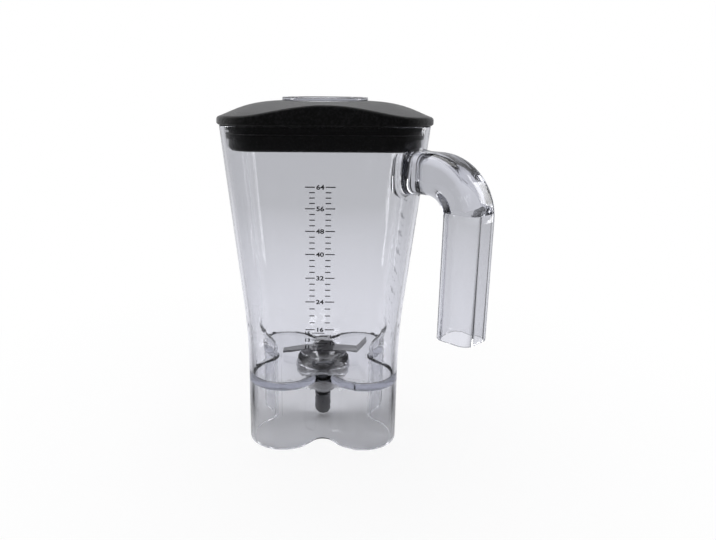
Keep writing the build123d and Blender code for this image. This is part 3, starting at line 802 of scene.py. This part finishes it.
def add_figure(bm, style, words, size, x, height, align):
    """Printed figures, flat in the drawing's plane and centred on a height."""
    curve = bpy.data.curves.new("figure", "FONT")
    curve.body = words
    curve.size = size / FIGURE_SHARE
    curve.offset = style.figure_weight
    curve.align_x = align
    holder = bpy.data.objects.new("figure", curve)
    bpy.context.scene.collection.objects.link(holder)
    mesh = bpy.data.meshes.new_from_object(holder.evaluated_get(bpy.context.evaluated_depsgraph_get()))
    mesh.transform(Matrix.Translation((x, height - size / 2, 0))
                   @ Matrix.Diagonal((style.figure_stretch, 1, 1, 1)))
    bm.from_mesh(mesh)
    bpy.data.objects.remove(holder)
    bpy.data.curves.remove(curve)
    bpy.data.meshes.remove(mesh)


def print_on_wall(bm, name, context, turn):
    """Lay the flat drawing on the wall that faces -Y, turn it about the blade axis and make it a piece."""
    shape = context.scene.jar_shape
    film = context.scene.jar_print.film
    bmesh.ops.triangulate(bm, faces=bm.faces)
    thick = bmesh.ops.extrude_face_region(bm, geom=bm.faces[:])
    raised = [part for part in thick["geom"] if isinstance(part, bmesh.types.BMVert)]
    bmesh.ops.translate(bm, verts=raised, vec=(0, 0, film))
    for vert in bm.verts:
        x, height, depth = vert.co
        vert.co = (x, -wall_half_width(shape, height) - depth, height)
    bmesh.ops.rotate(bm, verts=bm.verts, matrix=Matrix.Rotation(turn, 3, "Z"))
    bmesh.ops.recalc_face_normals(bm, faces=bm.faces)
    add_piece(context, bm, name, "scale_ink", "jar")


class JAR_OT_ounce_scale(bpy.types.Operator):
    """Print the ounce scale on the front wall."""

    bl_idname = "jar.ounce_scale"
    bl_label = "Ounce Scale"

    def execute(self, context):
        style = context.scene.jar_print
        bm = bmesh.new()
        for ounces, height in OUNCE_HEIGHTS.items():
            add_figure(bm, style, str(ounces), style.figure_height, style.centre, height * MM, "CENTER")
            for side in (1, -1):
                self.add_mark(bm, style, side, height * MM, style.long_mark)
                if ounces > min(OUNCE_HEIGHTS):
                    for step in range(1, SHORT_MARKS + 1):
                        below = ounce_height(ounces - step * OUNCE_STEP / (SHORT_MARKS + 1))
                        self.add_mark(bm, style, side, below, style.short_mark)
        for ounces in FINE_OUNCES:
            side = 1 if ounces % 2 == 0 else -1
            ends = sorted((style.centre - side * style.mark_start,
                           style.centre + side * style.fine_mark_reach))
            add_line(bm, *ends, ounce_height(ounces), style.fine_line_width)
            add_figure(bm, style, str(ounces), style.small_figure_height,
                       style.centre + side * style.fine_figure_start, ounce_height(ounces),
                       "LEFT" if side > 0 else "RIGHT")
        print_on_wall(bm, "ounce_scale", context, 0)
        return {"FINISHED"}

    def add_mark(self, bm, style, side, height, length):
        ends = sorted((style.centre + side * style.mark_start,
                       style.centre + side * (style.mark_start + length)))
        add_line(bm, *ends, height, style.line_width)


class JAR_OT_litre_scale(bpy.types.Operator):
    """Print the millilitre scale on the wall at the right."""

    bl_idname = "jar.litre_scale"
    bl_label = "Litre Scale"

    def execute(self, context):
        style = context.scene.jar_print
        bm = bmesh.new()
        for volume in LITRE_MARKS:
            height = ounce_height(volume * OUNCES_PER_LITRE / MILLILITRES_PER_LITRE)
            figured = volume % LITRE_FIGURE_STEP == 0
            length = style.long_mark if figured else style.short_mark
            for side in (1, -1):
                start = style.litre_mark_start if figured else style.mark_start
                add_line(bm, *sorted((side * start, side * (start + length))), height, style.line_width)
            if figured:
                add_figure(bm, style, str(volume), style.figure_height, 0, height, "CENTER")
        print_on_wall(bm, "litre_scale", context, math.radians(90))
        return {"FINISHED"}


# Studio

WHITE = (1, 1, 1, 1)
FLOOR_GREY = (0.8, 0.8, 0.8, 1)
# Glow colours that the floor shows to rays from the jar are painted light: a bright pool near the jar, grey
# farther off and painted shade in front. The world uses the last two as its room.
NEAR_FLOOR_PAINTED_LIGHT = (0.92, 0.925, 0.98, 1)
PALE_BACK = (0.66, 0.665, 0.69, 1)
DARK_FRONT = (0.015, 0.015, 0.016, 1)
CEILING = (0.7, 0.7, 0.72, 1)
# Place, size and power of each lamp
SOFTBOXES = {
    "top_softbox": ((-0.15, 0.25, 1.25), (1.0, 1.0), 7),
    "left_strip": ((-0.9, 0.1, 0.45), (0.2, 0.9), 2.5),
    "right_strip": ((0.9, 0.2, 0.45), (0.2, 0.9), 2.5),
}


def add_softbox(context, name, place, size, power):
    """A lamp that faces the middle of the jar."""
    lamp = bpy.data.lights.new(name, "AREA")
    lamp.shape = "RECTANGLE"
    lamp.size, lamp.size_y = size
    lamp.energy = power
    holder = bpy.data.objects.new(name, lamp)
    holder.location = place
    facing = Vector((0, 0, JAR_HIGH.z / 2)) - Vector(place)
    holder.rotation_euler = facing.to_track_quat("-Z", "Y").to_euler()
    holder.visible_camera = False
    context.scene.collection.objects.link(holder)


def floor_material():
    """Pale floor: white to the camera with a soft shadow. To rays from the jar it glows as painted light, a
    bright pool near the jar that greys farther off, and dark as painted shade in front.
    """
    material = bpy.data.materials.new("studio_floor")
    shader = Shader(material)
    path = shader.node("ShaderNodeLightPath")
    parts = shader.node("ShaderNodeSeparateXYZ", (), {"Vector": shader.place()})
    distance = (parts.out("X") * parts.out("X") + parts.out("Y") * parts.out("Y"))**0.5
    far = shader.ramp(distance, ((0.3, 0), (1.0, 1)))
    behind = shader.ramp(parts.out("Y") / distance, ((0.05, 0), (0.7, 1)))
    # To rays from the jar the floor glows with painted light: a bright pool near the jar fading to grey, and
    # painted shade in front and at the sides.
    pale = shader.mixed(far, NEAR_FLOOR_PAINTED_LIGHT, PALE_BACK)
    seen = shader.mixed(behind, DARK_FRONT, pale)
    seen = shader.mixed(path.out("Is Camera Ray"), seen, WHITE)
    lit = shader.node("ShaderNodeBsdfDiffuse", (), {"Color": FLOOR_GREY})
    glow = shader.node("ShaderNodeEmission", (), {"Color": seen})
    past_jar = path.out("Is Glossy Ray").larger(path.out("Is Transmission Ray"))
    camera_share = path.out("Is Camera Ray") * shader.ramp(distance, ((0.12, 0.88), (0.4, 1)))
    share = camera_share + past_jar * shader.ramp(distance, ((0.06, 0.15), (0.11, 0.95)))
    shader.finish(shader.node("ShaderNodeMixShader", (), {0: share, 1: lit, 2: glow}))
    return material


def studio_world(context):
    """White behind the object to the camera, and to every other ray a room that is dark in front."""
    world = bpy.data.worlds.new("studio")
    context.scene.world = world
    shader = Shader(world)
    path = shader.node("ShaderNodeLightPath")
    parts = shader.node("ShaderNodeSeparateXYZ", (), {
        "Vector": shader.node("ShaderNodeTexCoord").out("Generated")})
    height = shader.ramp(parts.out("Z"), ((0.3, 0), (0.95, 1)))
    behind = shader.ramp(parts.out("Y"), ((0.05, 0), (0.6, 1)))
    room = shader.mixed(behind, DARK_FRONT, PALE_BACK)
    room = shader.mixed(height, room, CEILING)
    colour = shader.mixed(path.out("Is Camera Ray"), room, WHITE)
    background = shader.node("ShaderNodeBackground", (), {"Color": colour})
    shader.node("ShaderNodeOutputWorld", (), {"Surface": background})


class JAR_OT_studio(bpy.types.Operator):
    """Set the floor, the light and the camera."""

    bl_idname = "jar.studio"
    bl_label = "Studio"

    def execute(self, context):
        studio = context.scene.jar_studio
        self.lay_floor(context, studio)
        studio_world(context)
        for name, (place, size, power) in SOFTBOXES.items():
            add_softbox(context, name, place, size, power)
        self.set_camera(context, studio)
        context.scene.view_settings.view_transform = "Standard"
        cycles = context.scene.cycles
        cycles.max_bounces = studio.light_bounces
        cycles.glossy_bounces = studio.light_bounces
        cycles.transmission_bounces = studio.light_bounces
        return {"FINISHED"}

    def lay_floor(self, context, studio):
        bm = bmesh.new()
        bmesh.ops.create_grid(bm, x_segments=1, y_segments=1, size=studio.floor_size / 2,
                              matrix=Matrix.Translation((0, 0, -studio.floor_gap)))
        mesh = bpy.data.meshes.new("studio_floor")
        bm.to_mesh(mesh)
        bm.free()
        mesh.materials.append(floor_material())
        floor = bpy.data.objects.new("studio_floor", mesh)
        context.scene.collection.objects.link(floor)

    def set_camera(self, context, studio):
        lens = bpy.data.cameras.new("camera")
        lens.sensor_width = SENSOR_WIDTH
        lens.lens = studio.focal_pixels * SENSOR_WIDTH / PHOTO_WIDTH
        lens.shift_x = (PHOTO_WIDTH / 2 - studio.axis_pixel[0]) / PHOTO_WIDTH
        lens.shift_y = (studio.axis_pixel[1] - PHOTO_HEIGHT / 2) / PHOTO_WIDTH
        camera = bpy.data.objects.new("camera", lens)
        camera.matrix_world = (
            Matrix.Translation((0, -studio.camera_distance, studio.camera_height))
            @ Matrix.Rotation(math.radians(90) - studio.camera_pitch, 4, "X")
            @ Matrix.Rotation(studio.camera_roll, 4, "Z"))
        context.scene.collection.objects.link(camera)
        context.scene.camera = camera


class JAR_PT_looks(bpy.types.Panel):
    """List the steps that dress the jar."""

    bl_idname = "JAR_PT_looks"
    bl_label = "Jar Looks"
    bl_space_type = "VIEW_3D"
    bl_region_type = "UI"
    bl_category = "Jar"

    def draw(self, context):
        for step in STEPS:
            self.layout.operator(step.bl_idname)


SETTINGS = {
    "jar_shape": JarShape,
    "jar_lid": LidForm,
    "jar_blades": BladeForm,
    "jar_housing": HousingForm,
    "jar_print": ScalePrint,
    "jar_finishes": Finishes,
    "jar_studio": Studio,
}
STEPS = (
    JAR_OT_moulded_pieces,
    JAR_OT_drive_pieces,
    JAR_OT_lid,
    JAR_OT_blades,
    JAR_OT_housing,
    JAR_OT_ounce_scale,
    JAR_OT_litre_scale,
    JAR_OT_studio,
)


def register():
    for cls in (*SETTINGS.values(), *STEPS, JAR_PT_looks):
        bpy.utils.register_class(cls)
    for name, group in SETTINGS.items():
        setattr(bpy.types.Scene, name, bpy.props.PointerProperty(type=group))


def unregister():
    for name in SETTINGS:
        delattr(bpy.types.Scene, name)
    for cls in reversed((*SETTINGS.values(), *STEPS, JAR_PT_looks)):
        bpy.utils.unregister_class(cls)


def main():
    register()
    bpy.ops.jar.moulded_pieces()
    bpy.ops.jar.drive_pieces()
    bpy.ops.jar.lid()
    bpy.ops.jar.blades()
    bpy.ops.jar.housing()
    bpy.ops.jar.ounce_scale()
    bpy.ops.jar.litre_scale()
    bpy.ops.jar.studio()


if __name__ == "__main__":
    main()
